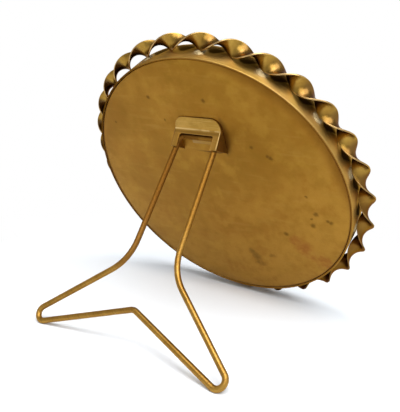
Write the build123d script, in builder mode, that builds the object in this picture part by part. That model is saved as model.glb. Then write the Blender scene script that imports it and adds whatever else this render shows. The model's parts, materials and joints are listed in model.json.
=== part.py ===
# Round brass photo frame that leans back on a bent-wire strut.
# Millimetres, +Z up. The picture faces -Y, the strut stands behind it on the +Y side,
# and the origin is on the surface below the middle of the whole frame.

import os
from math import cos, radians, sin, tan

from build123d import *

# Stance
lean_angle = 31.1
strut_angle = 61.7

# Rim band with its front lip
rim_radius = 63.0
rim_wall = 0.8
rim_depth = 12.0
lip_width = 4.0
lip_wall = 0.8
rim_front_round = 0.6
rim_rear_round = 0.25

# Twisted ribbon border
strip_width = 6.8
strip_thickness = 0.6
strip_edge_round = 0.2
half_twists = 30
sections_per_half_twist = 8
lobe_offset_angle = -0.9
slow_drift_angle = 79.0
quick_drift_angle = 28.0
drift_place_angle = 27.0
ribbon_setback = 7.0
ribbon_gap = 0.05

# Solder beads between ribbon and band, one at every second touching place
bead_radius = 2.4
bead_height = 1.0
bead_count = half_twists // 2
bead_shift_angle = 1.5
bead_rear_shift = 1.5
drift_trials = 12

# Glass, photo and card stacked behind the lip
pane_gap = 0.4
glass_thickness = 2.0
glass_chamfer = 0.3
photo_thickness = 0.25
card_thickness = 2.0

# Back plate, a shallow pan pushed into the rim
plate_fit = 0.1
plate_sheet = 0.7
plate_recess = 0.3
plate_edge_round = 0.8
plate_card_gap = 0.2

# Wire strut
wire_diameter = 2.4
hinge_rise = 27.8
leg_half_spacing = 9.3
leg_flare_angle = 1.5
splay_angle = 49.5
lower_run_angle = 68.8
foot_half_span = 42.3
foot_bend_radius = 3.1
leg_bend_radius = 20.0
top_bend_radius = 2.4
apex_bend_radius = 4.0
wire_end_gap = 0.3

# Strut bracket, folded from sheet
bracket_sheet = 0.45
tongue_sheet = 0.5
tongue_half_width = 5.0
tongue_reach = 4.0
hinge_play = 0.1
strut_side_gap = 0.3
stop_gap = 0.2
lip_reach = 5.9
lip_slope = 53.0
bend_height = 1.5
fold_round = 1.2
flange_length = 5.0
wall_foot_reach = 8.0
notch_bar_height = 2.1
bracket_lip_width = 3.0
bracket_corner_round = 4.5
notch_corner_round = 0.8

# Directions: rear_dir leaves the back square on, up_dir climbs the leaning back
lean = radians(lean_angle)
rear_dir = Vector(0, cos(lean), -sin(lean))
up_dir = Vector(0, sin(lean), cos(lean))
side_dir = Vector(1, 0, 0)

# The ring of the ribbon rests on one lobe close beside its lowest place, the strip's edge straight down
wire_radius = wire_diameter / 2
strip_half = strip_width / 2
ring_radius = rim_radius + ribbon_gap + strip_half
twist_pitch = 360 / half_twists
lobe_offset = radians(lobe_offset_angle)
lobe_drop = cos(lean) ** 2 * cos(lobe_offset) + sin(lean) ** 2
ring_height = ring_radius * cos(lobe_offset) * cos(lean) + strip_half * lobe_drop

# Hinge axis of the strut, seen from the ring's centre, and the length that brings its feet to the floor
hinge_height = tongue_sheet + hinge_play + wire_radius
hinge_offset = rear_dir * (ribbon_setback - plate_recess + hinge_height) + up_dir * hinge_rise
leg_dir = rear_dir * sin(radians(strut_angle)) - up_dir * cos(radians(strut_angle))
strut_drop = (ring_height + hinge_offset.Z - wire_radius) / -leg_dir.Z

# The whole frame is centred front to back between the ribbon's foot and the strut's feet
front_reach = ring_radius * sin(lean) + strip_half
rear_reach = hinge_offset.Y + leg_dir.Y * strut_drop + wire_radius
ring_center = Vector(0, (front_reach - rear_reach) / 2, ring_height)
rim_back_center = ring_center + rear_dir * ribbon_setback
plate_back_center = rim_back_center - rear_dir * plate_recess
hinge_center = ring_center + hinge_offset

ring_plane = Plane(origin=ring_center, x_dir=-side_dir, z_dir=rear_dir)
rim_back_plane = Plane(origin=rim_back_center, x_dir=-side_dir, z_dir=rear_dir)
plate_back_plane = Plane(origin=plate_back_center, x_dir=-side_dir, z_dir=rear_dir)
section_plane = Plane(origin=rim_back_center, x_dir=side_dir, z_dir=up_dir)
leg_plane = Plane(origin=hinge_center, x_dir=side_dir, z_dir=side_dir.cross(leg_dir))
cheek_plane = Plane(
    origin=hinge_center - rear_dir * hinge_height, x_dir=-up_dir, z_dir=side_dir
)
frame_axis = Axis(rim_back_center, rear_dir)

# Depths behind the front, counted forwards from the rim's rear edge
rim_inner_radius = rim_radius - rim_wall
pane_radius = rim_inner_radius - pane_gap
glass_front = rim_depth - lip_wall
glass_rear = glass_front - glass_thickness
photo_rear = glass_rear - photo_thickness
card_rear = photo_rear - card_thickness


# Rim band: a drawn ring whose front edge turns inwards to hold the glass
with BuildPart() as rim_band:
    with BuildSketch(section_plane) as rim_profile:
        with Locations((rim_radius, 0)):
            Rectangle(rim_wall, rim_depth, align=(Align.MAX, Align.MAX))
        with Locations((rim_radius, -rim_depth)):
            Rectangle(rim_wall + lip_width, lip_wall, align=(Align.MAX, Align.MIN))
        front_corner = rim_profile.vertices().group_by(Axis.Y)[0].sort_by(Axis.X)[-1]
        fillet(front_corner, rim_front_round)
        fillet(rim_profile.vertices().group_by(Axis.Y)[-1], rim_rear_round)
    revolve(axis=frame_axis)
rim_band.part.label = "rim_band"


# Twisted ribbon: the strip turns about its own middle on its way round. The turns were made by hand,
# so they run ahead in one part of the ring and lag in another, by one slow and one quick wave.
def drift(place):
    """Degrees by which the hand-made twist is ahead at an angle from the bottom of the ring."""
    lag = radians(place - drift_place_angle)
    return slow_drift_angle * cos(lag) + quick_drift_angle * cos(2 * lag)


def strip_section(place):
    """Plane of the strip's cross-section at an angle from the bottom of the ring."""
    half_turns = (place - lobe_offset_angle) / twist_pitch
    twist = radians(lean_angle + drift(place) - drift(lobe_offset_angle) - 180 * half_turns)
    outwards = side_dir * sin(radians(place)) - up_dir * cos(radians(place))
    along = side_dir * cos(radians(place)) + up_dir * sin(radians(place))
    across = outwards * cos(twist) + rear_dir * sin(twist)
    return Plane(origin=ring_center + outwards * ring_radius, x_dir=across, z_dir=along)


with BuildPart() as twisted_ribbon:
    for pitch in range(half_twists):
        for step in range(sections_per_half_twist + 1):
            with BuildSketch(strip_section(twist_pitch * (pitch + step / sections_per_half_twist))):
                RectangleRounded(strip_width, strip_thickness, strip_edge_round)
        loft()
twisted_ribbon.part.label = "twisted_ribbon"


# Solder beads: low mounds on the band beside every second place where the ribbon touches
def touch_place(half_turns):
    """Angle at which the strip stands square on the band, closing in on it step by step."""
    place = lobe_offset_angle
    for trial in range(drift_trials):
        twist = lean_angle + drift(place) - drift(lobe_offset_angle) + 180 * half_turns
        place = lobe_offset_angle + twist_pitch * twist / 180
    return place


bead_places = [radians(touch_place(2 * bead) + bead_shift_angle) for bead in range(bead_count)]
bead_center_radius = rim_radius + bead_height - bead_radius

with BuildPart(ring_plane) as ribbon_solder_beads:
    with Locations(
        [
            (-bead_center_radius * sin(place), -bead_center_radius * cos(place), bead_rear_shift)
            for place in bead_places
        ]
    ):
        Sphere(bead_radius)
    Cylinder(rim_radius, rim_depth, mode=Mode.SUBTRACT)
    with Locations(ring_plane.location.inverse()):
        add(twisted_ribbon.part, mode=Mode.SUBTRACT)
ribbon_solder_beads.part.label = "ribbon_solder_beads"


# Glass, photo and backing card lie one behind the other against the lip
with BuildPart() as glass_pane:
    with BuildSketch(rim_back_plane.offset(-glass_front)):
        Circle(pane_radius)
    extrude(amount=glass_thickness)
    chamfer(glass_pane.edges(), glass_chamfer)
glass_pane.part.label = "glass_pane"

with BuildPart() as photo_print:
    with BuildSketch(rim_back_plane.offset(-glass_rear)):
        Circle(pane_radius)
    extrude(amount=photo_thickness)
photo_print.part.label = "photo_print"

with BuildPart() as backing_card:
    with BuildSketch(rim_back_plane.offset(-photo_rear)):
        Circle(pane_radius)
    extrude(amount=card_thickness)
backing_card.part.label = "backing_card"


# Back plate: a shallow pan with a softly rounded edge, its skirt sliding inside the rim
with BuildPart() as back_plate:
    with BuildSketch(plate_back_plane):
        Circle(rim_inner_radius - plate_fit)
    extrude(amount=-(card_rear - plate_recess - plate_card_gap))
    fillet(back_plate.edges().sort_by(frame_axis)[-1], plate_edge_round)
    offset(amount=-plate_sheet, openings=back_plate.faces().sort_by(frame_axis)[0])
back_plate.part.label = "back_plate"


# Strut bracket, drawn in profile from the hinge: x down the plate, y out from it.
# The legs of the open strut stop against the inner ends of its lips.
swing = radians(strut_angle)
slope = radians(lip_slope)
lip_end_inside = (
    lip_reach * cos(swing) - (wire_radius + stop_gap) * sin(swing),
    hinge_height + lip_reach * sin(swing) + (wire_radius + stop_gap) * cos(swing),
)
lip_end = (
    lip_end_inside[0] - bracket_sheet * sin(slope),
    lip_end_inside[1] + bracket_sheet * cos(slope),
)
fold = (lip_end[0] - (lip_end[1] - bend_height) / tan(slope), bend_height)
flange_end = fold[0] - flange_length
bracket_half_width = leg_half_spacing + wire_radius + strut_side_gap + bracket_sheet
notch_half_width = bracket_half_width - bracket_lip_width
lip_length = (lip_end[1] - fold[1]) / sin(slope)
roof_plane = Plane(
    origin=cheek_plane.from_local_coords((*fold, 0)),
    x_dir=side_dir,
    z_dir=rear_dir * cos(slope) + up_dir * sin(slope),
)

with BuildPart() as strut_bracket:
    with BuildSketch(cheek_plane) as cheek:
        with BuildLine():
            Polyline(
                (flange_end, 0),
                (flange_end, bracket_sheet),
                fold,
                lip_end,
                (wall_foot_reach, 0),
                close=True,
            )
        make_face()
        fillet(cheek.vertices().sort_by_distance(fold)[0], fold_round)
    extrude(amount=bracket_half_width, both=True)
    flange_corners = strut_bracket.edges().filter_by(Axis((0, 0, 0), rear_dir))
    fillet(flange_corners, bracket_corner_round)
    with BuildSketch(cheek_plane):
        with BuildLine():
            pocket_far = lip_end_inside[0] + lip_length * cos(slope)
            pocket_top = lip_end_inside[1] + lip_length * sin(slope)
            pocket_rise = lip_end_inside[1] - lip_end_inside[0] * tan(slope)
            Polyline(
                (fold[0], 0),
                (fold[0], pocket_rise + fold[0] * tan(slope)),
                (pocket_far, pocket_top),
                (pocket_far + wall_foot_reach, 0),
                close=True,
            )
        make_face()
    extrude(amount=bracket_half_width - bracket_sheet, both=True, mode=Mode.SUBTRACT)
    with BuildSketch(roof_plane) as notch:
        with Locations((0, notch_bar_height)):
            Rectangle(2 * notch_half_width, lip_length, align=(Align.CENTER, Align.MIN))
        fillet(notch.vertices().group_by(Axis.Y)[0], notch_corner_round)
    extrude(amount=bracket_lip_width, both=True, mode=Mode.SUBTRACT)
    with BuildSketch(cheek_plane):
        with Locations((fold[0], 0)):
            Rectangle(tongue_reach - fold[0], tongue_sheet, align=(Align.MIN, Align.MIN))
    extrude(amount=tongue_half_width, both=True)
strut_bracket.part.label = "strut_bracket"


# Wire strut: one bent wire whose ends meet in the bracket, drawn flat with y down the legs
splay = radians(splay_angle)
flare = radians(leg_flare_angle)
foot_half_angle = radians((lower_run_angle - splay_angle) / 2)
foot_mid_angle = radians((lower_run_angle + splay_angle) / 2)
foot_reach = foot_bend_radius / sin(foot_half_angle)
foot_corner = (
    foot_half_span + foot_reach * sin(foot_mid_angle),
    strut_drop - foot_bend_radius + foot_reach * cos(foot_mid_angle),
)
bend_drop = (foot_corner[0] - foot_corner[1] * tan(splay) - leg_half_spacing) / (tan(flare) - tan(splay))
bend_corner = (leg_half_spacing + bend_drop * tan(flare), bend_drop)
apex_drop = foot_corner[1] - foot_corner[0] / tan(radians(lower_run_angle))
half_route = [(wire_end_gap / 2, 0), (leg_half_spacing, 0), bend_corner, foot_corner]
half_bends = [top_bend_radius, leg_bend_radius, foot_bend_radius]

with BuildPart() as wire_strut:
    with BuildLine(leg_plane) as route:
        FilletPolyline(
            *half_route,
            (0, apex_drop),
            *[(-across, down) for across, down in reversed(half_route)],
            radius=[*half_bends, apex_bend_radius, *reversed(half_bends)],
        )
    with BuildSketch(Plane(origin=route.line @ 0, z_dir=route.line % 0)):
        Circle(wire_radius)
    sweep(path=route.line)
wire_strut.part.label = "wire_strut"


os.makedirs("parts", exist_ok=True)
for piece in (
    rim_band,
    twisted_ribbon,
    ribbon_solder_beads,
    glass_pane,
    photo_print,
    backing_card,
    back_plate,
    strut_bracket,
    wire_strut,
):
    export_step(piece.part, f"parts/{piece.part.label}.step")
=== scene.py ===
import json
from math import atan2, cos, degrees, pi, radians, sin, tan

import bpy
from mathutils import Matrix, Vector


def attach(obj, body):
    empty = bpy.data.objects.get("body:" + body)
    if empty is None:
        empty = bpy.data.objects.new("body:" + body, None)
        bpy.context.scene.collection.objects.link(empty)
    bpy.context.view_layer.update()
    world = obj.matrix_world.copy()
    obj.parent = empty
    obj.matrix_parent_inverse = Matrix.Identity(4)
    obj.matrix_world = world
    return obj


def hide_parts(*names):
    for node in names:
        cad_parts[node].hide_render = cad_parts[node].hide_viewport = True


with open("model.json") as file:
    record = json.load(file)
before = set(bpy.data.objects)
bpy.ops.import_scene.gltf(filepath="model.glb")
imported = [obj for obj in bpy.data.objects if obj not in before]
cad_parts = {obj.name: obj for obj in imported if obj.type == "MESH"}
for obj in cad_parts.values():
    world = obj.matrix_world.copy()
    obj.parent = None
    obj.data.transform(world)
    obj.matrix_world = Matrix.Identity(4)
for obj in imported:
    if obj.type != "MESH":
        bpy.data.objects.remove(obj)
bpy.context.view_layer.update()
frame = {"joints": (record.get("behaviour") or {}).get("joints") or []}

# Sizes in metres and angles in degrees, as the solids have them but for some small edges and gaps
MM = 0.001
lean_angle = 31.1
strut_angle = 61.7
rim_radius = 63.0 * MM
rim_wall = 0.8 * MM
rim_depth = 12.0 * MM
lip_width = 4.0 * MM
lip_wall = 0.8 * MM
rim_front_round = 0.6 * MM
rim_rear_round = 0.25 * MM
ribbon_setback = 7.0 * MM

strip_width = 6.8 * MM
strip_thickness = 0.6 * MM
strip_edge_round = 0.17 * MM
strip_edge_trim = 0.04 * MM
ribbon_gap = 0.05 * MM
half_twists = 30
lobe_offset_angle = -0.9
slow_drift_angle = 79.0
quick_drift_angle = 28.0
drift_place_angle = 27.0
drift_trials = 12

bead_radius = 2.4 * MM
bead_height = 1.0 * MM
bead_sink = 0.3 * MM
bead_shift_angle = 1.5
bead_rear_shift = 1.5 * MM
bead_stretch = (1.30, 1.45, 0.60)
lump_size = 1.4 * MM
lump_height = 0.45 * MM
lump_level = 0.6
solder_spread_angle = 4.0

pane_gap = 0.4 * MM
glass_thickness = 2.0 * MM
glass_chamfer = 0.3 * MM
photo_thickness = 0.25 * MM
card_thickness = 2.0 * MM
card_chamfer = 0.1 * MM
paper_slack = 0.03 * MM

plate_fit = 0.1 * MM
plate_sheet = 0.7 * MM
plate_recess = 0.3 * MM
plate_edge_round = 0.45 * MM
pan_depth = 6.45 * MM

wire_radius = 1.2 * MM
hinge_rise = 27.8 * MM
hinge_height = 1.8 * MM
leg_half_spacing = 9.3 * MM
leg_flare_angle = 1.5
splay_angle = 49.5
lower_run_angle = 68.8
foot_half_span = 42.3 * MM
foot_bend_radius = 3.1 * MM
leg_bend_radius = 20.0 * MM
top_bend_radius = 2.4 * MM
apex_bend_radius = 4.0 * MM
wire_end_gap = 0.1 * MM
run_share = 0.7

bracket_sheet = 0.45 * MM
bracket_half_width = 11.25 * MM
stop_gap = 0.2 * MM
lip_reach = 5.9 * MM
lip_slope = 53.0
bend_height = 1.5 * MM
fold_round = 1.2 * MM
bend_round = 0.35 * MM
flange_length = 5.0 * MM
wall_foot_reach = 8.0 * MM
notch_bar_height = 2.1 * MM
bracket_lip_width = 3.0 * MM
notch_corner_round = 0.8 * MM
bracket_corner_round = 4.5 * MM
bracket_edge_round = 0.06 * MM
tongue_half_width = 5.0 * MM
tongue_reach = 4.0 * MM
tongue_sheet = 0.5 * MM
tongue_edge_round = 0.1 * MM

# How finely the pieces are divided, and how near counts as the same place or direction
rim_facets = 240
plate_facets = 200
plate_rings = 8
pane_facets = 160
strip_steps = 28
strip_lanes = 12
bead_fineness = 4
wire_roundness = 8
wire_bend_step = 5.0
fewest_bend_steps = 4
seam_reach = 0.005 * MM
same_place = 0.01 * MM
nearly_square = 0.1
nearly_along = 0.9
exactly_along = 0.999

# Where the upright frame comes to stand: its ring's middle, and the middle of the strut's hinge bar
lean = radians(lean_angle)
ring_radius = rim_radius + ribbon_gap + strip_width / 2
hinge_joint = next(joint for joint in frame["joints"] if joint["name"] == "strut_hinge")
hinge_center = Vector(hinge_joint["pos_m"])
rear_dir = Vector((0, cos(lean), -sin(lean)))
up_dir = Vector((0, sin(lean), cos(lean)))
plate_face = ribbon_setback - plate_recess
ring_center = hinge_center - rear_dir * (plate_face + hinge_height) - up_dir * hinge_rise
twist_pitch = 360 / half_twists

# The bracket's outline from the side, from the hinge: down the plate, and out of it
swing = radians(strut_angle)
slope = radians(lip_slope)
leg_stop = wire_radius + stop_gap
lip_end_inside = (
    lip_reach * cos(swing) - leg_stop * sin(swing),
    hinge_height + lip_reach * sin(swing) + leg_stop * cos(swing),
)
lip_end = (
    lip_end_inside[0] - bracket_sheet * sin(slope),
    lip_end_inside[1] + bracket_sheet * cos(slope),
)
fold = (lip_end[0] - (lip_end[1] - bend_height) / tan(slope), bend_height)
fold_height = hinge_rise - fold[0]
flange_end = fold[0] - flange_length
lip_length = (lip_end[1] - fold[1]) / sin(slope)
roof_dir = Vector((0, sin(slope), -cos(slope)))
roof_level = plate_face + fold[1] + fold_height * tan(slope)
cover_middle = hinge_rise - (flange_end + wall_foot_reach) / 2
cover_half_height = (wall_foot_reach - flange_end) / 2

# What lies inside the band, from its front to its back
plate_reach = rim_radius - rim_wall - plate_fit
pane_radius = rim_radius - rim_wall - pane_gap
glass_front = ribbon_setback - rim_depth + lip_wall
photo_front = glass_front + glass_thickness
card_front = photo_front + photo_thickness

# Marks on the back, in millimetres from its middle: to the side, up, and radius
speck_places = (
    (-5.3, 44.4, 0.8), (17.0, 33.7, 0.5), (22.4, 44.5, 0.7), (46.6, 30.1, 0.5),
    (-23.0, 24.4, 0.7), (-29.6, 20.9, 0.6), (-30.9, 20.1, 0.8), (-47.1, -5.7, 1.0),
    (-52.0, -8.4, 0.6), (-53.4, -9.0, 0.8), (-45.2, -12.3, 0.9), (-31.7, -20.3, 0.9),
    (-43.9, 3.1, 0.5), (-45.0, -8.6, 0.5),
)
smudge_places = (
    (-13.5, -39.0, 2.2), (-15.2, -43.5, 2.0), (-11.8, -36.2, 1.6), (-22.5, -36.0, 1.4),
)
stain_places = (
    (-40.0, -27.0, 3.4), (-36.5, -23.6, 2.6), (-48.4, -33.0, 3.0), (-42.5, -30.5, 2.2),
)
spot_core = 0.3
spot_fringe = 1.9


# Modelling helpers
def to_object_mode():
    if bpy.context.object and bpy.context.object.mode != "OBJECT":
        bpy.ops.object.mode_set(mode="OBJECT")
    bpy.ops.object.select_all(action="DESELECT")


def take(piece):
    """Makes one piece the only selected and active one."""
    to_object_mode()
    piece.select_set(True)
    bpy.context.view_layer.objects.active = piece


def apply_place():
    """Moves the place, turn and size of what is selected into its mesh."""
    bpy.ops.object.transform_apply(location=True, rotation=True, scale=True)


def select_whole():
    bpy.ops.mesh.select_all(action="SELECT")


def start(name):
    """Names the primitive that was just added and opens it with everything selected."""
    piece = bpy.context.object
    piece.name = piece.data.name = name
    apply_place()
    bpy.ops.object.mode_set(mode="EDIT")
    bpy.ops.mesh.select_mode(type="VERT")
    select_whole()
    return piece


def pick(piece, kind, test):
    """Selects the vertices or edges that pass the test, in edit mode."""
    bpy.ops.object.mode_set(mode="EDIT")
    bpy.ops.mesh.select_mode(type=kind)
    bpy.ops.mesh.select_all(action="DESELECT")
    bpy.ops.object.mode_set(mode="OBJECT")
    mesh = piece.data
    if kind == "VERT":
        for vertex in mesh.vertices:
            vertex.select = test(vertex.co)
    else:
        for edge in mesh.edges:
            ends = [mesh.vertices[index].co for index in edge.vertices]
            edge.select = test((ends[0] + ends[1]) / 2, (ends[1] - ends[0]).normalized())
    bpy.ops.object.mode_set(mode="EDIT")


def near(point):
    """A test for a vertex at that point."""
    return lambda place: (place - Vector(point)).length < same_place


def set_point(name, place):
    """Starts a line as one vertex, selected."""
    to_object_mode()
    bpy.ops.mesh.primitive_plane_add(size=MM)
    piece = start(name)
    bpy.ops.mesh.merge(type="CENTER")
    bpy.ops.transform.translate(value=place)
    return piece


def draw_on(step):
    """Draws what is selected on by a step: a line from its end, or a sheet out to a block."""
    bpy.ops.mesh.extrude_region_move(TRANSFORM_OT_translate={"value": step})


def trace(name, points, close=False):
    """Draws a line of edges through the points by extruding one vertex."""
    piece = set_point(name, points[0])
    for here, there in zip(points, points[1:]):
        draw_on(Vector(there) - Vector(here))
    if close:
        pick(piece, "VERT", lambda place: near(points[0])(place) or near(points[-1])(place))
        bpy.ops.mesh.edge_face_add()
    return piece


def bevel(cut, segments, affect="EDGES"):
    """Rounds the selected edges or corners, cut back by a length along their sides."""
    bpy.ops.mesh.bevel(offset=cut, segments=segments, affect=affect, clamp_overlap=False)


def round_corner(piece, point, cut, segments):
    """Rounds one corner of a line."""
    pick(piece, "VERT", near(point))
    bevel(cut, segments, affect="VERTICES")


def face_outwards():
    """Turns all faces of the opened piece outwards."""
    select_whole()
    bpy.ops.mesh.normals_make_consistent(inside=False)


def close_seam(reach):
    """Merges the vertices that lie together and turns all faces outwards."""
    select_whole()
    bpy.ops.mesh.remove_doubles(threshold=reach)
    face_outwards()


def spin_round(facets):
    """Turns the opened profile in the XY plane once round the Y axis and closes the seam."""
    select_whole()
    bpy.ops.mesh.spin(steps=facets, angle=2 * pi, center=(0, 0, 0), axis=(0, 1, 0))
    close_seam(seam_reach)


def modify(piece, kind, **settings):
    """Adds a modifier and applies it."""
    take(piece)
    modifier = piece.modifiers.new(kind.title(), kind)
    for key, value in settings.items():
        setattr(modifier, key, value)
    bpy.ops.object.modifier_apply(modifier=modifier.name)


def soften_edges(piece, width, segments, sharper_than):
    """Rounds every edge of a piece that turns by more than an angle."""
    limit = radians(sharper_than)
    modify(piece, "BEVEL", width=width, segments=segments, limit_method="ANGLE", angle_limit=limit)


def lean_back(piece):
    """Leans an upright piece back and puts it on the ring's middle, with its place in its mesh."""
    take(piece)
    piece.rotation_euler = (-lean, 0, 0)
    piece.location = ring_center
    apply_place()


def finish_piece(piece, body, node, material, smooth_angle=40):
    """Smooths a piece, gives it its finish and fixes it to the body of the node it stands for."""
    take(piece)
    bpy.ops.object.shade_smooth_by_angle(angle=radians(smooth_angle))
    piece.data.materials.clear()
    piece.data.materials.append(material)
    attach(piece, body)
    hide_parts(node)


# Twist of the ribbon, by the angle from the bottom of the ring
def drift(place):
    """Degrees by which the hand-made twist is ahead there."""
    lag = radians(place - drift_place_angle)
    return slow_drift_angle * cos(lag) + quick_drift_angle * cos(2 * lag)


def twist_at(place):
    """Turn of the strip about its own middle, 0 where its edge points out from the ring."""
    half_turns = (place - lobe_offset_angle) / twist_pitch
    return radians(lean_angle + drift(place) - drift(lobe_offset_angle) - 180 * half_turns)


def touch_place(half_turns):
    """Angle at which the strip stands square on the band, closing in on it step by step."""
    place = lobe_offset_angle
    for trial in range(drift_trials):
        twist = lean_angle + drift(place) - drift(lobe_offset_angle) + 180 * half_turns
        place = lobe_offset_angle + twist_pitch * twist / 180
    return place


mound_places = [touch_place(2 * count) + bead_shift_angle for count in range(half_twists // 2)]


def facing_at(place):
    """How squarely the strip stands there: 1 on the band, 0 where it lies flat."""
    return cos(twist_at(place)) ** 2


def turning_at(place):
    """Which end of a lobe is there: above 0 as it opens, below 0 as it closes."""
    return sin(2 * twist_at(place))


def soldered_at(place):
    """How near a mound of solder is: 1 at its middle, 0 beside it."""
    nearest = min(abs((place - mound + 180) % 360 - 180) for mound in mound_places)
    return max(0.0, 1 - nearest / solder_spread_angle)


def note_round(piece, name, value_at):
    """Notes a value on each vertex of an upright ring, worked out from its angle."""
    notes = piece.data.attributes.new(name, "FLOAT", "POINT")
    for vertex in piece.data.vertices:
        notes.data[vertex.index].value = value_at(degrees(atan2(vertex.co.x, -vertex.co.z)))


# Shader arithmetic
class Shade:
    """A socket of a node tree that can be used in plain arithmetic, and a maker of other nodes."""

    def __init__(self, tree, socket=None):
        self.tree = tree
        self.socket = socket

    def make(self, kind, settings=None, inputs=None, output=0):
        """Adds a node by its type, its settings and the values or links of its sockets."""
        node = self.tree.nodes.new(kind)
        for key, value in (settings or {}).items():
            setattr(node, key, value)
        for key, value in (inputs or {}).items():
            if isinstance(value, Shade):
                self.tree.links.new(value.socket, node.inputs[key])
            else:
                node.inputs[key].default_value = value
        return Shade(self.tree, node.outputs[output] if node.outputs else None)

    def _math(self, operation, first, second):
        return self.make("ShaderNodeMath", {"operation": operation}, {0: first, 1: second})

    def __add__(self, other):
        return self._math("ADD", self, other)

    def __radd__(self, other):
        return self._math("ADD", other, self)

    def __sub__(self, other):
        return self._math("SUBTRACT", self, other)

    def __rsub__(self, other):
        return self._math("SUBTRACT", other, self)

    def __mul__(self, other):
        return self._math("MULTIPLY", self, other)

    def __rmul__(self, other):
        return self._math("MULTIPLY", other, self)

    def __pow__(self, other):
        return self._math("POWER", self, other)

    def __rpow__(self, other):
        return self._math("POWER", other, self)


def empty_tree(owner):
    """Clears the nodes of a material or world and gives the maker of new ones."""
    owner.use_nodes = True
    owner.node_tree.nodes.clear()
    return Shade(owner.node_tree)


def new_material(name):
    """An empty material and the maker of its nodes."""
    material = bpy.data.materials.new(name)
    return material, empty_tree(material)


def color(red, green, blue):
    return (red, green, blue, 1.0)


white = color(1, 1, 1)


def mix(mask, first, second):
    """Colour that goes from first to second as the mask goes from 0 to 1."""
    return mask.make(
        "ShaderNodeMix", {"data_type": "RGBA"}, {0: mask, 6: first, 7: second}, output=2
    )


def lay_over(base, *layers):
    """Lays tones over a base in turn, each given by its mask, its strength and its colour."""
    for mask, strength, tone in layers:
        base = mix(mask * strength, base, tone)
    return base


def ramp(value, low, high):
    """Goes smoothly from 0 to 1 as the value goes from low to high."""
    return value.make(
        "ShaderNodeMapRange",
        {"interpolation_type": "SMOOTHSTEP"},
        {"Value": value, "From Min": low, "From Max": high},
    )


def fade(value, low, high):
    """Goes smoothly from 1 to 0 as the value goes from low to high."""
    return 1.0 - ramp(value, low, high)


def greater(first, second):
    return first.make("ShaderNodeMath", {"operation": "MAXIMUM"}, {0: first, 1: second})


def size_of(value):
    """The value without its sign."""
    return value.make("ShaderNodeMath", {"operation": "ABSOLUTE"}, {0: value})


def vector_math(where, operation, other, output="Vector"):
    settings = {"operation": operation}
    return where.make("ShaderNodeVectorMath", settings, {0: where, 1: other}, output)


def stretch(where, size):
    """The same place with its three directions drawn out or pressed together."""
    return vector_math(where, "MULTIPLY", size)


def distance_to(where, point):
    return vector_math(where, "DISTANCE", point, "Value")


def own_place(maker):
    """Place on a piece in the shared frame."""
    return maker.make("ShaderNodeTexCoord", output="Object")


def upright_place(maker):
    """Place from the ring's middle as if it stood upright, with y out of the back and z up."""
    return maker.make(
        "ShaderNodeMapping",
        {"vector_type": "TEXTURE"},
        {"Vector": own_place(maker), "Location": ring_center, "Rotation": (-lean, 0, 0)},
    )


def part_of(where, axis):
    return where.make("ShaderNodeSeparateXYZ", None, {0: where}, output=axis)


def side_of(where):
    return part_of(where, "X")


def depth_of(where):
    return part_of(where, "Y")


def height_of(where):
    return part_of(where, "Z")


def ring_reach(where):
    """Distance from the axis through the middle of the ring."""
    side, height = side_of(where), height_of(where)
    return (side * side + height * height) ** 0.5


def noted(maker, name):
    """The value that was noted on the piece's vertices under that name."""
    return maker.make("ShaderNodeAttribute", {"attribute_name": name}, output="Fac")


def noise(where, scale, detail=4.0, roughness=0.55, distortion=0.0, output="Fac"):
    sockets = {
        "Vector": where,
        "Scale": scale,
        "Detail": detail,
        "Roughness": roughness,
        "Distortion": distortion,
    }
    return where.make("ShaderNodeTexNoise", None, sockets, output)


def bump(height, strength, distance):
    sockets = {"Height": height, "Strength": strength, "Distance": distance}
    return height.make("ShaderNodeBump", None, sockets)


def spots(where, places, waver):
    """Mask of ragged spots on the back, each given by its place and its radius."""
    flat = stretch(where, (1.0, 0.0, 1.0))
    shake = noise(where, scale=700.0, detail=2.0, roughness=0.5, output="Color")
    shake = stretch(vector_math(shake, "SUBTRACT", (0.5, 0.5, 0.5)), (waver, 0.0, waver))
    ragged = vector_math(flat, "ADD", shake)
    mask = None
    for side, height, radius in places:
        away = distance_to(ragged, (side * MM, 0.0, height * MM))
        spot = fade(away, spot_core * radius * MM, spot_fringe * radius * MM)
        mask = greater(mask, spot) if mask else spot
    return mask


def bracket_away(where):
    """Distance on the back from the rounded outline that the bracket covers."""
    straight_half_width = bracket_half_width - bracket_corner_round
    straight_half_height = cover_half_height - bracket_corner_round
    beside = greater(size_of(side_of(where)) - straight_half_width, 0.0)
    above = height_of(where) - (cover_middle + straight_half_height)
    below = cover_middle - straight_half_height - height_of(where)
    beyond = greater(greater(above, below), 0.0)
    return (beside * beside + beyond * beyond) ** 0.5 - bracket_corner_round


def ray(maker, kind):
    """1 for the rays of one kind, by which a thing is seen or lit, and 0 for the others."""
    return maker.make("ShaderNodeLightPath", output=kind)


def seen_rays(maker):
    """1 where a thing is seen, straight, in metal or through glass, and 0 where it only lights."""
    straight, in_metal = ray(maker, "Is Camera Ray"), ray(maker, "Is Glossy Ray")
    return straight + in_metal + ray(maker, "Is Transmission Ray")


def principled(maker, sockets):
    return maker.make("ShaderNodeBsdfPrincipled", None, sockets)


def show(maker, shader):
    """Puts a shader on the material's surface."""
    maker.make("ShaderNodeOutputMaterial", None, {"Surface": shader})


def metal(maker, base, roughness, normal, coat=0.0, grazing=white):
    """Puts metal with an old thin lacquer on the surface, tinted where it is seen at a slant."""
    sockets = {
        "Base Color": base,
        "Roughness": roughness,
        "Metallic": 1.0,
        "Specular Tint": grazing,
        "Coat Weight": coat,
        "Coat Roughness": 0.25,
        "Normal": normal,
    }
    show(maker, principled(maker, sockets))


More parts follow.
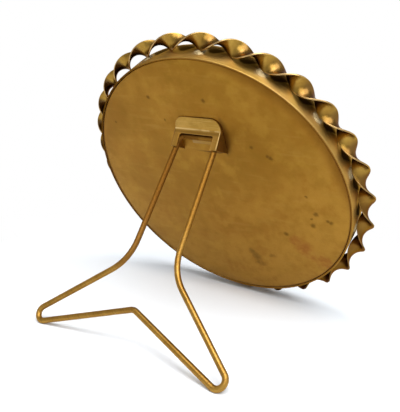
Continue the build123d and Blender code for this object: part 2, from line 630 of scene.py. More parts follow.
# Finishes
def plate_finish():
    """Aged brass sheet: clouded olive gold with stains, specks and dirt, painted light towards one
    side, and painted shade by the rim and round the bracket.
    """
    dull_gold, warm_gold = color(0.272, 0.128, 0.0135), color(0.362, 0.178, 0.0235)
    painted_light_gold, wiped_gold = color(0.415, 0.218, 0.033), color(0.430, 0.245, 0.048)
    brown_blotch, pale_blotch = color(0.265, 0.115, 0.011), color(0.420, 0.225, 0.030)
    olive, pore_brown = color(0.245, 0.122, 0.011), color(0.240, 0.112, 0.014)
    stain_red, smudge_brown = color(0.290, 0.095, 0.018), color(0.175, 0.085, 0.010)
    speck_brown, corner_shade_brown = color(0.130, 0.062, 0.009), color(0.165, 0.062, 0.006)
    rim_brown, seam_and_shadow_brown = color(0.130, 0.050, 0.010), color(0.075, 0.030, 0.008)

    material, maker = new_material("plate_brass")
    where = upright_place(maker)
    side, height, reach = side_of(where), height_of(where), ring_reach(where)
    clouds = noise(where, scale=26.0, detail=5.0, roughness=0.6)
    blotches = noise(where, scale=85.0, detail=5.0, roughness=0.65)
    mottle = noise(where, scale=190.0, roughness=0.6)
    grain = noise(where, scale=1600.0, detail=2.0)
    wipes = noise(stretch(where, (60.0, 1.0, 420.0)), scale=1.0, detail=3.0)
    # Painted light: paler towards the outer edge, the bottom and the −x side
    toward_painted_light = reach + clouds * 20.0 * MM - side * 0.25 - height * 0.30

    # Marks
    stains = spots(where, stain_places, 5.0 * MM) * ramp(mottle + clouds, 0.75, 1.15)
    smudges = spots(where, smudge_places, 3.0 * MM) * ramp(mottle, 0.30, 0.60)
    specks = spots(where, speck_places, 1.1 * MM)

    # Painted shade at the upper right edge, dirt in the rim's groove, a dark seam line round the
    # bracket that is partly painted shade, and the bracket's painted shadow beside it
    corner = ramp(height * 0.64 - side * 0.77, 44.0 * MM, 54.0 * MM)
    ragged_reach = reach + clouds * 2.0 * MM
    corner = corner * ramp(ragged_reach, plate_reach - 5.0 * MM, plate_reach + 1.0 * MM)
    rim_dirt = ramp(reach + clouds * 1.0 * MM, plate_reach - 0.5 * MM, plate_reach + 0.6 * MM)
    rim_dirt = rim_dirt * fade(height, 20.0 * MM, 48.0 * MM)
    away = bracket_away(where)
    toward = 0.0 - side
    # Dark seam line round the flange, partly painted shade, and a painted shadow of the bracket
    # beside its −x cheek
    seam_and_shade = ramp(away, -0.50 * MM, -0.10 * MM) * fade(away, 0.10 * MM, 0.55 * MM)
    seam_and_shade = seam_and_shade * ramp(toward, -7.0 * MM, 3.0 * MM)
    bracket_shadow = fade(away, 0.0, 3.6 * MM) * ramp(toward, 10.0 * MM, bracket_half_width)

    base = lay_over(
        mix(ramp(clouds, 0.34, 0.66), dull_gold, warm_gold),
        (ramp(toward_painted_light, 40.0 * MM, 82.0 * MM), 0.6, painted_light_gold),
        (ramp(blotches, 0.50, 0.66), 0.5, brown_blotch),
        (fade(blotches, 0.34, 0.48), 0.4, pale_blotch),
        (ramp(mottle, 0.42, 0.72), 0.4, olive),
        (ramp(wipes, 0.52, 0.75), 0.22, wiped_gold),
        (ramp(grain, 0.50, 0.80), 0.22, pore_brown),
        (stains, 0.7, stain_red),
        (smudges, 0.75, smudge_brown),
        (specks, 0.6, speck_brown),
        (corner, 0.75, corner_shade_brown),
        (rim_dirt, 0.8, rim_brown),
        (greater(seam_and_shade * 0.8, bracket_shadow * 0.65), 1.0, seam_and_shadow_brown),
    )
    roughness = 0.38 + clouds * 0.14 + mottle * 0.08 + stains * 0.10 + specks * 0.2
    rise = clouds * 0.9 + wipes * 0.05 + grain * 0.03 - specks * 0.1
    metal(maker, base, roughness, bump(rise, strength=0.25, distance=0.6 * MM))
    return material


def band_finish():
    """Paler band with streaks round it, painted light low down and at the crown, and a nearly black
    painted shadow under the ribbon.
    """
    dull_brass, warm_brass = color(0.345, 0.198, 0.040), color(0.400, 0.252, 0.064)
    streak_brass, tarnish = color(0.480, 0.340, 0.122), color(0.300, 0.135, 0.040)
    painted_light_brass, solder_smear = color(0.610, 0.365, 0.102), color(0.560, 0.470, 0.300)
    ribbon_shadow_dark, inner_edge = color(0.022, 0.009, 0.003), color(0.270, 0.126, 0.022)
    worn_and_lit_edge, edge_shadow_dark = color(0.560, 0.370, 0.130), color(0.070, 0.028, 0.005)
    grazing = color(0.7, 0.52, 0.30)

    material, maker = new_material("rim_brass")
    where = upright_place(maker)
    side, depth, height = side_of(where), depth_of(where), height_of(where)
    reach = ring_reach(where)
    round_scale, across_scale = 18.0, 1500.0
    drawn_round = {
        "X": side * round_scale,
        "Y": (depth + reach) * across_scale,
        "Z": height * round_scale,
    }
    streaks = noise(maker.make("ShaderNodeCombineXYZ", None, drawn_round), scale=1.0, detail=3.0)
    clouds = noise(where, scale=75.0, roughness=0.6)
    outer = ramp(reach, rim_radius - 0.30 * MM, rim_radius - 0.10 * MM)
    edge = ramp(depth, ribbon_setback - 0.35 * MM, ribbon_setback - 0.10 * MM)
    low_side = fade(height, 15.0 * MM, 45.0 * MM)
    crown = ramp(height, 48.0 * MM, 62.0 * MM)
    # Painted light: paler low down and at the crown, less so on the rear edge
    light = greater(low_side, crown * ramp(side, -28.0 * MM, 0.0)) * (0.8 - edge * 0.7)

    # Smears of solder, and a nearly black painted shadow under the lobes where no smear is
    from_bead = size_of(depth - bead_rear_shift) + clouds * 1.2 * MM
    smear = fade(from_bead, 1.6 * MM, 4.2 * MM) * ramp(noted(maker, "soldered"), 0.15, 0.85) * outer
    shadow_edge_shift = clouds * 1.6 + noted(maker, "facing") * 5.0 - low_side * 0.5 + crown * 1.0
    front_without_shadow = fade(depth, -2.6 * MM, -0.4 * MM) * fade(height, 30.0 * MM, 50.0 * MM)
    ribbon_shadow = fade(depth + shadow_edge_shift * MM, 2.7 * MM, 4.3 * MM) * (1.0 - front_without_shadow * 0.75)
    ribbon_shadow = ribbon_shadow * ramp(depth, -4.6 * MM, -3.4 * MM) * outer * (1.0 - smear)

    base = lay_over(
        mix(ramp(clouds, 0.35, 0.68), dull_brass, warm_brass),
        (ramp(streaks, 0.50, 0.72), 0.45, streak_brass),
        (ramp(clouds, 0.52, 0.68), 0.4, tarnish),
        (light, 1.0, painted_light_brass),
        (smear, 0.75, solder_smear),
        (ribbon_shadow, 0.96 - crown * 0.10, ribbon_shadow_dark),
        (edge * (1.0 - outer), 1.0, inner_edge),
        # Worn rear edge with a painted highlight on its upper part, and a painted shadow on its
        # left part
        (edge * outer * ramp(height, -10.0 * MM, 25.0 * MM), 0.2, worn_and_lit_edge),
        (edge * ramp(side, 5.0 * MM, 35.0 * MM), 0.8, edge_shadow_dark),
    )
    roughness = 0.34 + clouds * 0.12 + streaks * 0.08 + ribbon_shadow * 0.22
    rise = streaks * 0.4 + clouds * 0.5
    normal = bump(rise, strength=0.22, distance=0.25 * MM)
    metal(maker, base, roughness, normal, grazing=grazing)
    return material


def ribbon_finish():
    """Satin strip with worn edges that also carry a painted highlight, and painted shade on the
    turned parts of the lobes, low down and next to the band, nearly black where a lobe opens.
    """
    dull_gold, bright_gold = color(0.325, 0.174, 0.020), color(0.440, 0.263, 0.040)
    rolled_gold, worn_and_lit_edge = color(0.530, 0.350, 0.076), color(0.700, 0.470, 0.190)
    turned_shade_brown, inner_shade_brown = color(0.140, 0.068, 0.014), color(0.070, 0.031, 0.008)
    low_shade_brown, opening_shade_dark = color(0.145, 0.064, 0.012), color(0.040, 0.015, 0.003)
    grazing = color(0.60, 0.41, 0.18)

    material, maker = new_material("ribbon_brass")
    where = upright_place(maker)
    strip = maker.make("ShaderNodeTexCoord", output="UV")
    from_middle = size_of(part_of(strip, "Y") - 0.5) * 2.0
    rolling = noise(stretch(strip, (60.0, 240.0, 1.0)), scale=1.0, detail=2.0)
    clouds = noise(where, scale=130.0, roughness=0.6)
    dents = noise(where, scale=110.0, detail=1.0)
    # Worn edges that also carry a painted highlight
    worn_and_lit = ramp(from_middle + clouds * 0.08, 0.96, 1.02)
    # Painted shade where the strip turns away from square, lighter where it stands square
    facing_lit = ramp(noted(maker, "facing") + clouds * 0.3, 0.25, 0.95)
    # Nearly black painted shade where a lobe opens
    opening_shade = ramp(noted(maker, "turning") + clouds * 0.3, 0.25, 1.05)
    # Painted shade low down
    lower = fade(height_of(where), -30.0 * MM, 48.0 * MM)
    # Painted shade next to the band
    ragged_reach = ring_reach(where) + clouds * 1.5 * MM
    inner = fade(ragged_reach, rim_radius + 0.6 * MM, rim_radius + 4.2 * MM)
    inner = inner * (1.0 - facing_lit * 0.6)

    base = lay_over(
        mix(ramp(clouds, 0.34, 0.68), dull_gold, bright_gold),
        (ramp(rolling, 0.50, 0.75), 0.35, rolled_gold),
        (1.0 - facing_lit, 0.8, turned_shade_brown),
        (inner, 0.92, inner_shade_brown),
        (lower, 0.85, low_shade_brown),
        (opening_shade, 0.85, opening_shade_dark),
        (worn_and_lit, 0.6 - lower * 0.45, worn_and_lit_edge),
    )
    roughness = 0.25 + clouds * 0.10 + rolling * 0.04 + inner * 0.12
    coat = (0.28 - inner * 0.28) * (1.0 - lower * 0.8)
    normal = bump(dents, strength=0.05, distance=0.25 * MM)
    metal(maker, base, roughness, normal, coat, grazing)
    return material


def wire_finish():
    """Drawn wire with fine marks across it, duller near the hinge, and painted shade further down
    one leg.
    """
    dull_gold, warm_gold = color(0.285, 0.146, 0.019), color(0.372, 0.205, 0.036)
    dark_mark, bright_mark = color(0.155, 0.068, 0.010), color(0.560, 0.340, 0.090)
    hinge_brown, leg_shade_brown = color(0.235, 0.106, 0.017), color(0.190, 0.078, 0.012)
    grazing = color(0.84, 0.66, 0.40)

    material, maker = new_material("wire_brass")
    place = own_place(maker)
    run = noted(maker, "run")
    across_wire = {"W": run, "Scale": 1500.0, "Detail": 3.0}
    marks = maker.make("ShaderNodeTexNoise", {"noise_dimensions": "1D"}, across_wire)
    patches = noise(place, scale=120.0, roughness=0.6)
    worn_run = run + patches * 10.0 * MM
    dull = fade(worn_run, 30.0 * MM, 56.0 * MM)
    # Painted shade on the leg on the +x side
    shaded_leg = ramp(side_of(place), -2.0 * MM, 2.0 * MM) * fade(worn_run, 50.0 * MM, 66.0 * MM)

    base = lay_over(
        mix(ramp(patches, 0.36, 0.66), dull_gold, warm_gold),
        (ramp(marks, 0.50, 0.68), 0.6, dark_mark),
        (ramp(marks, 0.62, 0.80), 0.5, bright_mark),
        (dull, 0.75, hinge_brown),
        (shaded_leg, 0.7, leg_shade_brown),
    )
    roughness = 0.35 + patches * 0.12 + marks * 0.06 + dull * 0.14 + shaded_leg * 0.10
    normal = bump(marks * 0.8 + patches * 0.3, strength=0.3, distance=0.18 * MM)
    metal(maker, base, roughness, normal, 0.22 - dull * 0.22, grazing)
    return material


def bracket_finish():
    """Folded sheet, paler than the plate, with a painted highlight on its fold and near edge, and
    painted shade under the fold, on its far edge and near cheek, and inside.
    """
    dull_gold, warm_gold = color(0.350, 0.196, 0.030), color(0.450, 0.262, 0.050)
    filed_gold, roof_orange = color(0.560, 0.345, 0.090), color(0.480, 0.225, 0.030)
    under_fold_shade_brown, far_edge_shade_brown = color(0.220, 0.115, 0.016), color(0.160, 0.075, 0.012)
    tongue_brown, inside_shade_brown = color(0.290, 0.150, 0.020), color(0.150, 0.066, 0.011)
    highlight_gold, cheek_shade_brown = color(0.800, 0.570, 0.220), color(0.190, 0.090, 0.016)

    material, maker = new_material("bracket_brass")
    where = upright_place(maker)
    side, depth, height = side_of(where), depth_of(where), height_of(where)
    filing = noise(stretch(where, (120.0, 900.0, 1900.0)), scale=1.0, detail=2.0)
    clouds = noise(where, scale=210.0, roughness=0.6)

    # Where a place lies on the bracket
    roof_start = plate_face + bend_height
    tongue_top = plate_face + tongue_sheet
    half_width = bracket_half_width
    toward = 0.0 - side
    fold_line = fade(size_of(height - fold_height), 0.05 * MM, 0.42 * MM)
    # Painted shade just under the fold
    under_fold = fade(size_of(height - fold_height + 0.8 * MM), 0.10 * MM, 0.50 * MM)
    roof = ramp(depth, roof_start - 0.4 * MM, roof_start + 0.4 * MM)
    raised = ramp(depth, tongue_top, tongue_top + 0.4 * MM)
    near_edge = ramp(toward, half_width - 0.55 * MM, half_width - 0.15 * MM) * roof
    # Painted shade on the far edge
    far_edge = ramp(side, half_width - 0.60 * MM, half_width - 0.20 * MM) * roof
    # Painted shade on the near cheek
    cheek = ramp(toward, half_width - 0.12 * MM, half_width - 0.04 * MM) * roof
    tongue = (1.0 - raised) * ramp(fold_height - height, 1.0 * MM, 2.0 * MM)
    # Painted shade inside the bracket near its cheeks
    inside = fade(depth + height * tan(slope), roof_level - 1.2 * MM, roof_level - 0.7 * MM)
    inside = inside * fade(height, fold_height - 1.4 * MM, fold_height - 0.6 * MM)
    inside = inside * raised * ramp(size_of(side), 6.5 * MM, 8.5 * MM)
    # Painted highlight on the fold line and the near edge
    painted_highlight = greater(fold_line, near_edge) * (1.0 - inside) * ramp(clouds, 0.30, 0.55)

    base = lay_over(
        mix(ramp(clouds, 0.36, 0.68), dull_gold, warm_gold),
        (ramp(filing, 0.52, 0.72), 0.4, filed_gold),
        (roof, 0.5, roof_orange),
        (under_fold * roof, 0.5, under_fold_shade_brown),
        (far_edge, 0.7, far_edge_shade_brown),
        (tongue, 0.85, tongue_brown),
        (inside, 0.6, inside_shade_brown),
        (painted_highlight, 0.75, highlight_gold),
        (cheek, 0.75, cheek_shade_brown),
    )
    roughness = 0.32 + clouds * 0.14 + inside * 0.15
    normal = bump(filing * 0.5 + clouds * 0.4, strength=0.2, distance=0.15 * MM)
    metal(maker, base, roughness, normal, 0.2 - inside * 0.2)
    return material


def solder_finish():
    """Silvery solder with a grey skin and a brown stain at its foot."""
    dark_skin, light_skin = color(0.33, 0.255, 0.13), color(0.53, 0.435, 0.26)
    foot_brown = color(0.42, 0.30, 0.13)

    material, maker = new_material("solder")
    where = upright_place(maker)
    skin = noise(where, scale=420.0)
    ragged_reach = ring_reach(where) + skin * 0.3 * MM
    foot = fade(ragged_reach, rim_radius + 0.1 * MM, rim_radius + 0.5 * MM)
    base = mix(ramp(skin, 0.35, 0.65), dark_skin, light_skin)
    base = lay_over(base, (foot, 0.7, foot_brown))
    metal(maker, base, 0.58 + skin * 0.2, bump(skin, strength=0.2, distance=0.2 * MM))
    return material


def glass_finish():
    """Clear flat glass with the faintest wipe marks, which lets the light through to the photo."""
    clear_glass = color(0.985, 0.995, 0.99)

    material, maker = new_material("glass")
    where = upright_place(maker)
    wipes = noise(where, scale=55.0, detail=3.0, roughness=0.6, distortion=1.2)
    sockets = {
        "Base Color": clear_glass,
        "Roughness": ramp(wipes, 0.45, 0.75) * 0.035 + 0.01,
        "IOR": 1.5,
        "Transmission Weight": 1.0,
    }
    seen = principled(maker, sockets)
    clear = maker.make("ShaderNodeBsdfTransparent", None, {"Color": clear_glass})
    lighting = ray(maker, "Is Shadow Ray") + ray(maker, "Is Diffuse Ray")
    show(maker, maker.make("ShaderNodeMixShader", None, {0: lighting, 1: seen, 2: clear}))
    return material


def paper_finish():
    """Blank satin photo paper, a little warmer towards its edge."""
    cool_paper, pale_paper = color(0.86, 0.84, 0.79), color(0.90, 0.885, 0.845)
    warm_paper = color(0.82, 0.76, 0.65)

    material, maker = new_material("photo_paper")
    where = upright_place(maker)
    fibres = noise(where, scale=1400.0, detail=3.0)
    mottle = noise(where, scale=40.0)
    rim = ramp(ring_reach(where), 35.0 * MM, 62.0 * MM)
    base = mix(ramp(mottle, 0.3, 0.7), cool_paper, pale_paper)
    sockets = {
        "Base Color": lay_over(base, (rim, 0.4, warm_paper)),
        "Roughness": 0.42 + fibres * 0.1,
        "Normal": bump(fibres, strength=0.08, distance=0.05 * MM),
    }
    show(maker, principled(maker, sockets))
    return material


def card_finish():
    """Grey-brown pulp board with flecks."""
    dark_pulp, pale_pulp = color(0.26, 0.22, 0.17), color(0.38, 0.33, 0.26)
    fleck_brown = color(0.14, 0.11, 0.08)

    material, maker = new_material("card")
    where = upright_place(maker)
    pulp = noise(where, scale=700.0, detail=5.0, roughness=0.7)
    flecks = noise(stretch(where, (900.0, 900.0, 300.0)), scale=1.0, detail=2.0)
    base = mix(ramp(pulp, 0.3, 0.7), dark_pulp, pale_pulp)
    sockets = {
        "Base Color": lay_over(base, (ramp(flecks, 0.68, 0.74), 0.6, fleck_brown)),
        "Roughness": 0.82 + pulp * 0.1,
        "Normal": bump(pulp, strength=0.3, distance=0.1 * MM),
    }
    show(maker, principled(maker, sockets))
    return material


# Pieces, modelled upright about the ring's middle: x to the side, y out of the back, z up
def make_rim_ring():
    """The band: a profile with a turned-in front lip, spun round."""
    rear = ribbon_setback
    front = ribbon_setback - rim_depth
    inner = rim_radius - rim_wall
    corners = [
        (inner, rear, 0),
        (rim_radius, rear, 0),
        (rim_radius, front, 0),
        (inner - lip_width, front, 0),
        (inner - lip_width, front + lip_wall, 0),
        (inner, front + lip_wall, 0),
    ]
    piece = trace("rim_ring", corners, close=True)
    round_corner(piece, corners[0], rim_rear_round, segments=3)
    round_corner(piece, corners[1], rim_rear_round, segments=3)
    round_corner(piece, corners[2], rim_front_round, segments=5)
    round_corner(piece, corners[3], rim_rear_round, segments=3)
    spin_round(rim_facets)
    to_object_mode()
    note_round(piece, "facing", facing_at)
    note_round(piece, "soldered", soldered_at)
    lean_back(piece)
    return piece


def make_round_sheet(name, front, thickness, chamfer):
    """A flat disc drawn out to its thickness, with both edges cut back."""
    to_object_mode()
    bpy.ops.mesh.primitive_circle_add(
        vertices=pane_facets,
        radius=pane_radius,
        fill_type="NGON",
        location=(0, front, 0),
        rotation=(pi / 2, 0, 0),
    )
    piece = start(name)
    draw_on((0, thickness, 0))
    face_outwards()
    pick(piece, "EDGE", lambda middle, way: abs(way.y) < nearly_square)
    bevel(chamfer, segments=1)
    lean_back(piece)
    return piece


def make_back_pan():
    """The back: a flat disc with a softly turned edge and a skirt, given its sheet's thickness."""
    rings = range(plate_rings + 1)
    profile = [(plate_reach * ring / plate_rings, plate_face, 0) for ring in rings]
    edge = profile[-1]
    profile.append((plate_reach, plate_face - pan_depth, 0))
    piece = trace("back_pan", profile)
    round_corner(piece, edge, plate_edge_round, segments=6)
    spin_round(plate_facets)
    modify(piece, "SOLIDIFY", thickness=plate_sheet, offset=-1, use_even_offset=True)
    lean_back(piece)
    return piece


def make_ribbon_ring():
    """The border: a flat strip wound once round the band while it turns about its own middle."""
    to_object_mode()
    steps = half_twists * strip_steps
    bpy.ops.mesh.primitive_grid_add(x_subdivisions=steps, y_subdivisions=strip_lanes, size=1)
    piece = start("ribbon_ring")
    bpy.ops.object.mode_set(mode="OBJECT")
    for vertex in piece.data.vertices:
        place = 360 * (vertex.co.x + 0.5)
        across = vertex.co.y * (strip_width - 2 * strip_edge_trim)
        twist = twist_at(place)
        reach = ring_radius + across * cos(twist)
        angle = radians(place)
        vertex.co = (reach * sin(angle), across * sin(twist), -reach * cos(angle))
    bpy.ops.object.mode_set(mode="EDIT")
    close_seam(same_place)
    modify(piece, "SOLIDIFY", thickness=strip_thickness, offset=0, use_even_offset=True)
    soften_edges(piece, strip_edge_round, segments=3, sharper_than=50)
    note_round(piece, "facing", facing_at)
    note_round(piece, "turning", turning_at)
    lean_back(piece)
    return piece


def make_solder_mounds():
    """Solder: one lumpy mound, cut flat in the band, copied to every second touching place."""
    to_object_mode()
    foot = (0, 0, bead_sink - rim_radius)
    bpy.ops.mesh.primitive_ico_sphere_add(subdivisions=bead_fineness, radius=bead_radius)
    first = start("solder_mounds")
    middle = (0, bead_rear_shift, -(rim_radius + bead_height - bead_radius))
    bpy.ops.transform.translate(value=middle)
    bpy.ops.mesh.bisect(plane_co=foot, plane_no=(0, 0, 1), clear_outer=True, use_fill=True)
    select_whole()
    bpy.ops.transform.resize(value=bead_stretch, center_override=(0, bead_rear_shift, foot[2]))
    lumps = bpy.data.textures.new("solder_lumps", "CLOUDS")
    lumps.noise_scale = lump_size
    modify(
        first,
        "DISPLACE",
        texture=lumps,
        strength=lump_height,
        mid_level=lump_level,
        texture_coords="LOCAL",
    )
    mounds = []
    for place in mound_places:
        mound = first.copy()
        mound.data = first.data.copy()
        bpy.context.collection.objects.link(mound)
        mound.rotation_euler = (0, -radians(place), 0)
        mounds.append(mound)
    take(mounds[0])
    for mound in mounds:
        mound.select_set(True)
    apply_place()
    bpy.ops.object.join()
    piece = bpy.context.object
    bpy.data.objects.remove(first)
    piece.name = piece.data.name = "solder_mounds"
    lean_back(piece)
    return piece


def sheet_block(name, outline, half_width):
    """A closed outline seen from the side, filled and drawn out to both sides."""
    points = [(-half_width, plate_face + out, hinge_rise - down) for down, out in outline]
    piece = trace(name, points, close=True)
    select_whole()
    bpy.ops.mesh.edge_face_add()
    select_whole()
    draw_on((2 * half_width, 0, 0))
    face_outwards()
    return piece


def cut_with(piece, cutter):
    """Takes a cutter's shape out of a piece and drops the cutter."""
    modify(piece, "BOOLEAN", operation="DIFFERENCE", object=cutter, solver="EXACT")
    bpy.data.objects.remove(cutter)


def bracket_block():
    """The bracket before it is cut: a block with a rounded flange, fold and upper edges."""
    outline = [(flange_end, 0), (flange_end, bracket_sheet), fold, lip_end, (wall_foot_reach, 0)]
    piece = sheet_block("folded_bracket", outline, bracket_half_width)

    def at_flange_end(middle, way):
        return abs(middle.z - hinge_rise + flange_end) < same_place and abs(way.y) > nearly_along

    def at_fold(middle, way):
        return abs(middle.z - fold_height) < same_place and abs(way.x) > nearly_along

    def along_roof(middle, way):
        return abs(way.dot(roof_dir)) > exactly_along

    pick(piece, "EDGE", at_flange_end)
    bevel(bracket_corner_round, segments=8)
    pick(piece, "EDGE", at_fold)
    fold_turn = slope - atan2(bend_height - bracket_sheet, flange_length)
    bevel(fold_round * tan(fold_turn / 2), segments=5)
    pick(piece, "EDGE", along_roof)
    bevel(bend_round, segments=4)
    return piece


def bracket_pocket():
    """What is hollow between the bracket's cheeks, open below."""
    roof_rise = lip_end_inside[1] - lip_end_inside[0] * tan(slope)
    pocket_far = lip_end_inside[0] + lip_length * cos(slope)
    outline = [
        (fold[0], -plate_sheet),
        (fold[0], roof_rise + fold[0] * tan(slope)),
        (pocket_far, lip_end_inside[1] + lip_length * sin(slope)),
        (pocket_far + wall_foot_reach, -plate_sheet),
    ]
    return sheet_block("pocket", outline, bracket_half_width - bracket_sheet)


def bracket_notch():
    """What is cut out of the roof below its bar, between the two lips, with rounded corners."""
    down, out = Vector((cos(slope), sin(slope))), Vector((-sin(slope), cos(slope)))
    bar_end = Vector(fold) + down * notch_bar_height
    outline = [
        bar_end - out * bracket_lip_width,
        bar_end + out * bracket_lip_width,
        bar_end + out * bracket_lip_width + down * lip_length,
        bar_end - out * bracket_lip_width + down * lip_length,
    ]
    piece = sheet_block("notch", outline, bracket_half_width - bracket_lip_width)
    bar_middle = Vector((0, plate_face + bar_end[1], hinge_rise - bar_end[0]))

    def at_bar_corner(middle, way):
        from_bar = abs((middle - bar_middle).dot(roof_dir))
        return abs(way.x) < nearly_square and from_bar < same_place

    pick(piece, "EDGE", at_bar_corner)
    bevel(notch_corner_round, segments=5)
    return piece


def make_folded_bracket():
    """The bracket: folded sheet with a flange, a bar, two lips and two cheeks, and a tongue."""
    piece = bracket_block()
    cut_with(piece, bracket_pocket())
    cut_with(piece, bracket_notch())
    soften_edges(piece, bracket_edge_round, segments=2, sharper_than=40)
    near_end, far_end = fold[0], tongue_reach
    outline = [(near_end, 0), (near_end, tongue_sheet), (far_end, tongue_sheet), (far_end, 0)]
    tongue = sheet_block("tongue", outline, tongue_half_width)
    soften_edges(tongue, tongue_edge_round, segments=2, sharper_than=40)
    take(piece)
    tongue.select_set(True)
    bpy.ops.object.join()
    lean_back(piece)
    return piece


def wire_corners(drop):
    """Corners of the wire laid flat, sideways and down from the hinge, and each bend's radius."""
    splay, flare, lower = radians(splay_angle), radians(leg_flare_angle), radians(lower_run_angle)
    foot_far = foot_bend_radius / sin((lower - splay) / 2)
    foot = (
        foot_half_span + foot_far * sin((lower + splay) / 2),
        drop - foot_bend_radius + foot_far * cos((lower + splay) / 2),
    )
    knee_drop = (foot[0] - foot[1] * tan(splay) - leg_half_spacing) / (tan(flare) - tan(splay))
    knee = (leg_half_spacing + knee_drop * tan(flare), knee_drop)
    apex = (0.0, foot[1] - foot[0] / tan(lower))
    half = [(wire_end_gap / 2, 0.0), (leg_half_spacing, 0.0), knee, foot]
    route = half + [apex] + [(-across, along) for across, along in reversed(half)]
    bends = [top_bend_radius, leg_bend_radius, foot_bend_radius]
    points = [Vector((across, along, 0)) for across, along in route]
    return points, bends + [apex_bend_radius] + bends[::-1]


def draw_wire(points, radii):
    """Draws the wire's middle line, with each corner spun round as a bend."""
    piece = set_point("bent_wire", points[0])
    end = points[0]
    for before, corner, after, radius in zip(points, points[1:], points[2:], radii):
        run_in, run_out = (corner - before).normalized(), (after - corner).normalized()
        turn = run_in.angle(run_out)
        hand = 1 if run_in.cross(run_out).z > 0 else -1
        bend_start = corner - run_in * radius * tan(turn / 2)
        bend_center = bend_start + Vector((-run_in.y, run_in.x, 0)) * radius * hand
        draw_on(bend_start - end)
        steps = max(fewest_bend_steps, round(turn / radians(wire_bend_step)))
        bpy.ops.mesh.spin(steps=steps, angle=-turn * hand, center=bend_center, axis=(0, 0, 1))
        end = corner + run_out * radius * tan(turn / 2)
    draw_on(points[-1] - end)
    return piece


def make_bent_wire():
    """The strut: one wire with rounded bends, whose ends meet in the bracket."""
    leg_dir = rear_dir * sin(swing) - up_dir * cos(swing)
    drop = (hinge_center.z - wire_radius) / -leg_dir.z
    take(draw_wire(*wire_corners(drop)))
    bpy.ops.object.convert(target="CURVE")
    line = bpy.context.object
    line.data.bevel_depth = wire_radius
    line.data.bevel_resolution = wire_roundness
    line.data.use_fill_caps = True
    bpy.ops.object.convert(target="MESH")
    wire = bpy.context.object
    wire.name = wire.data.name = "bent_wire"
    rough_run = wire.data.attributes.new("run", "FLOAT", "POINT")
    for vertex in wire.data.vertices:
        rough_run.data[vertex.index].value = run_share * (abs(vertex.co.x) + vertex.co.y)
    out_of_plane = leg_dir.cross(Vector((-1, 0, 0)))
    turned = Matrix(((1, 0, 0), leg_dir, out_of_plane)).transposed().to_4x4()
    wire.matrix_world = Matrix.Translation(hinge_center) @ turned
    apply_place()
    return wire


finish_piece(make_rim_ring(), "frame", "rim_band", band_finish())
finish_piece(
    make_ribbon_ring(),
    "frame", "twisted_ribbon", ribbon_finish(), smooth_angle=70,
)
finish_piece(
    make_solder_mounds(),
    "frame", "ribbon_solder_beads", solder_finish(), smooth_angle=60,
)
finish_piece(make_back_pan(), "back", "back_plate", plate_finish())
finish_piece(
    make_folded_bracket(),
    "back", "strut_bracket", bracket_finish(), smooth_angle=30,
)
finish_piece(
    make_bent_wire(),
    "strut", "wire_strut", wire_finish(), smooth_angle=60,
)
finish_piece(
    make_round_sheet("glass_disc", glass_front, glass_thickness, glass_chamfer),
    "frame", "glass_pane", glass_finish(), smooth_angle=30,
)
finish_piece(
    make_round_sheet(
        "photo_disc", photo_front + paper_slack, photo_thickness - 2 * paper_slack, paper_slack
    ),
    "frame", "photo_print", paper_finish(), smooth_angle=30,
)
finish_piece(
    make_round_sheet("card_disc", card_front, card_thickness, card_chamfer),
    "frame", "backing_card", card_finish(), smooth_angle=30,
)

# Studio
floor_width = 6.0
floor_tone = color(0.875, 0.92, 0.968)
shadow_middle = (0.005, -0.010, 0.0)
strip_clearing = 0.38
lit_middle = (0.0, 0.0, 0.05)
ambient = 0.34
room_side = (-0.20, 0.98, 0.0)
room_dimming = 0.85


def make_floor():
    """A wide pale floor that runs out into the white backdrop, its shadow thinned in a strip."""
    to_object_mode()
    bpy.ops.mesh.primitive_plane_add(size=floor_width)
    floor = bpy.context.object
    floor.name = "floor"
    material, maker = new_material("floor_white")
    place = own_place(maker)
    matte = maker.make("ShaderNodeBsdfDiffuse", None, {"Color": floor_tone})
    glow = maker.make("ShaderNodeEmission", None, {"Color": white, "Strength": 1.0})
    along = part_of(place, "Y")
    clear_strip = ramp(along, -45.0 * MM, -25.0 * MM) * fade(along, 0.0, 30.0 * MM)
    far = ramp(distance_to(place, shadow_middle), 85.0 * MM, 200.0 * MM)
    bare = (clear_strip * strip_clearing + far) * seen_rays(maker)
    show(maker, maker.make("ShaderNodeMixShader", None, {0: bare, 1: matte, 2: glow}))
    floor.data.materials.append(material)


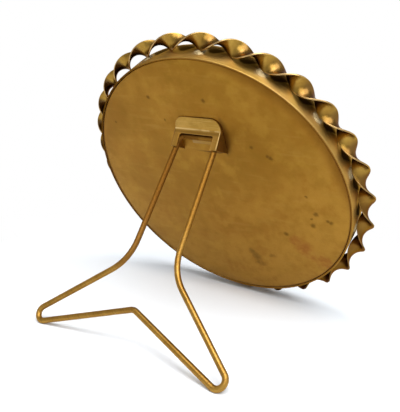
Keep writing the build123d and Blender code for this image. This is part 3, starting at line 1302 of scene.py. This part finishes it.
def make_backdrop():
    """White all round, in metal too, with a duller ceiling and a dim room behind the camera."""
    world = bpy.data.worlds.new("studio")
    bpy.context.scene.world = world
    sky = empty_tree(world)
    direction = sky.make("ShaderNodeTexCoord", output="Generated")
    overhead = ramp(part_of(direction, "Z"), 0.30, 0.75)
    behind = vector_math(direction, "DOT_PRODUCT", room_side, "Value")
    dim = ramp(behind, 0.25, 0.80) * ray(sky, "Is Glossy Ray") * room_dimming
    strength = ambient + seen_rays(sky) * (1.0 - ambient) * (1.0 - overhead) * (1.0 - dim)
    light = sky.make("ShaderNodeBackground", None, {"Color": white, "Strength": strength})
    sky.make("ShaderNodeOutputWorld", None, {"Surface": light})


def add_lamp(name, place, size, power):
    """A soft round lamp turned to the object."""
    data = bpy.data.lights.new(name, "AREA")
    data.shape = "DISK"
    data.size = size
    data.energy = power
    lamp = bpy.data.objects.new(name, data)
    bpy.context.collection.objects.link(lamp)
    lamp.location = place
    toward = Vector(lit_middle) - Vector(place)
    lamp.rotation_euler = toward.to_track_quat("-Z", "Y").to_euler()


make_floor()
make_backdrop()
add_lamp("key", (-0.45, 0.21, 0.69), size=0.70, power=5.2)
add_lamp("top", (-0.04, 0.30, 0.80), size=0.45, power=3.5)
add_lamp("fill", (-0.35, 1.00, 0.80), size=0.90, power=6.0)

# Camera, at the photograph's place
camera_place = (-0.12379, 0.19571, 0.09603)
camera_azimuth, camera_elevation, camera_roll = 212.5587, 11.3346, 3.6323
photo_long_side = 412
focal_pixels = 539.72
sensor_width = 36.0
nearest_seen = 0.01

camera_data = bpy.data.cameras.new("camera")
camera_data.sensor_width = sensor_width
camera_data.lens = focal_pixels * sensor_width / photo_long_side
camera_data.clip_start = nearest_seen
camera = bpy.data.objects.new("camera", camera_data)
bpy.context.collection.objects.link(camera)
camera.location = camera_place
camera.rotation_euler = (
    Matrix.Rotation(radians(camera_azimuth), 3, "Z")
    @ Matrix.Rotation(radians(90 - camera_elevation), 3, "X")
    @ Matrix.Rotation(radians(camera_roll), 3, "Z")
).to_euler()
bpy.context.scene.camera = camera

bpy.context.scene.view_settings.view_transform = "Standard"
